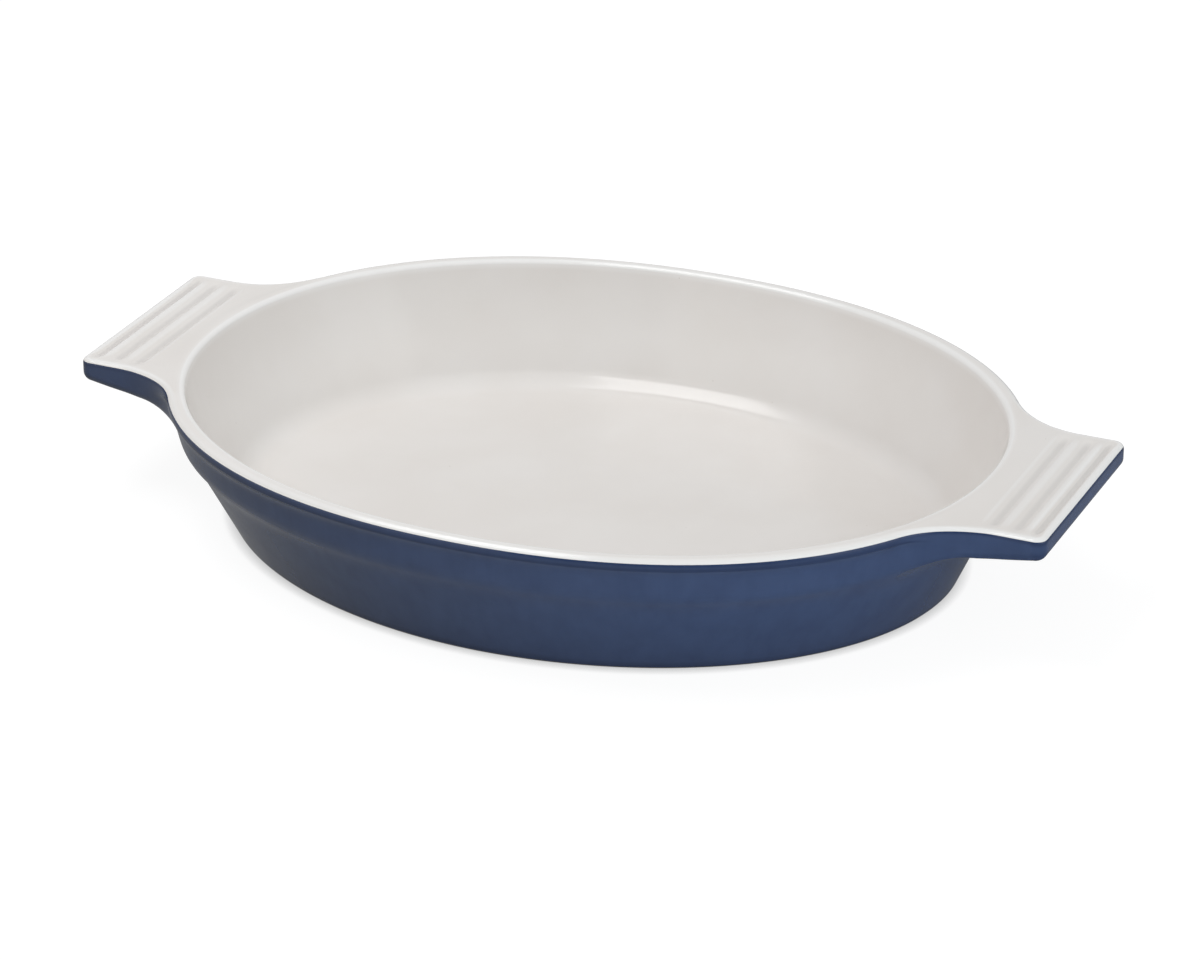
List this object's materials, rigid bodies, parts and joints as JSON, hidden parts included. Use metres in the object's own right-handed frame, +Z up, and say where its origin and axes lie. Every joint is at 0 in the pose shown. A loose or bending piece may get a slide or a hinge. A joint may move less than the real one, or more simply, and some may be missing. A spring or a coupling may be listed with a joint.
{
  "type": "oval baking dish",
  "caption": "Shallow oval stoneware baking dish with a grooved tab handle at each end, white glaze inside and over the lip, blue glaze outside, and a bare foot ring.",
  "frame": {"origin": "on the table, under the middle of the dish", "axes": "+X along the length through both handles, +Y across the dish, +Z up out of its mouth"},
  "size_m": [0.36, 0.2424, 0.05],
  "materials": {
    "stoneware": "bare fired clay, matt",
    "white_glaze": "gloss glaze, warm white",
    "blue_glaze": "gloss glaze, dark slate blue"
  },
  "bodies": {
    "root": {"stoneware_body": "stoneware", "inner_glaze": "white_glaze", "outer_glaze": "blue_glaze", "base_glaze": "blue_glaze"}
  },
  "joints": []
}
